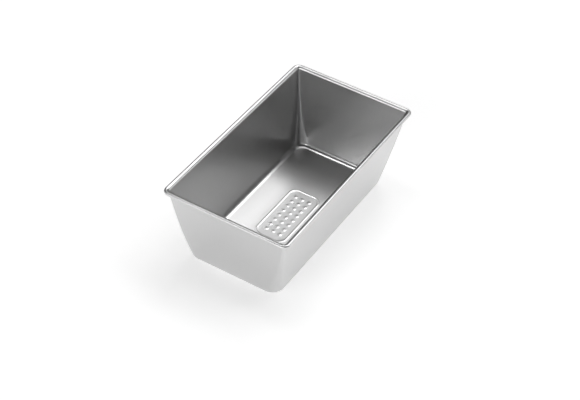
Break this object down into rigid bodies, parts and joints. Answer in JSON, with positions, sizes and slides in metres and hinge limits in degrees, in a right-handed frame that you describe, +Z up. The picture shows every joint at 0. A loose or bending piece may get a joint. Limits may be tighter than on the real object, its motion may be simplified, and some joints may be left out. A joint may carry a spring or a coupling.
{
  "type": "mini loaf pan",
  "caption": "Small rectangular loaf pan drawn from one sheet, with tapered walls, a rounded foot and a rim rolled round a wire, for baking a single-serving loaf.",
  "frame": {"origin": "centre of the underside of the floor, where the pan stands", "axes": "+X along the long sides, +Y across the pan, +Z up out of the mouth"},
  "size_m": [0.1518, 0.0864, 0.0555],
  "materials": {
    "sheet": "satin aluminised steel sheet",
    "wire": "plain drawn steel wire"
  },
  "bodies": {
    "root": {"pan_shell": "sheet", "rim_wire": "wire"}
  },
  "joints": []
}
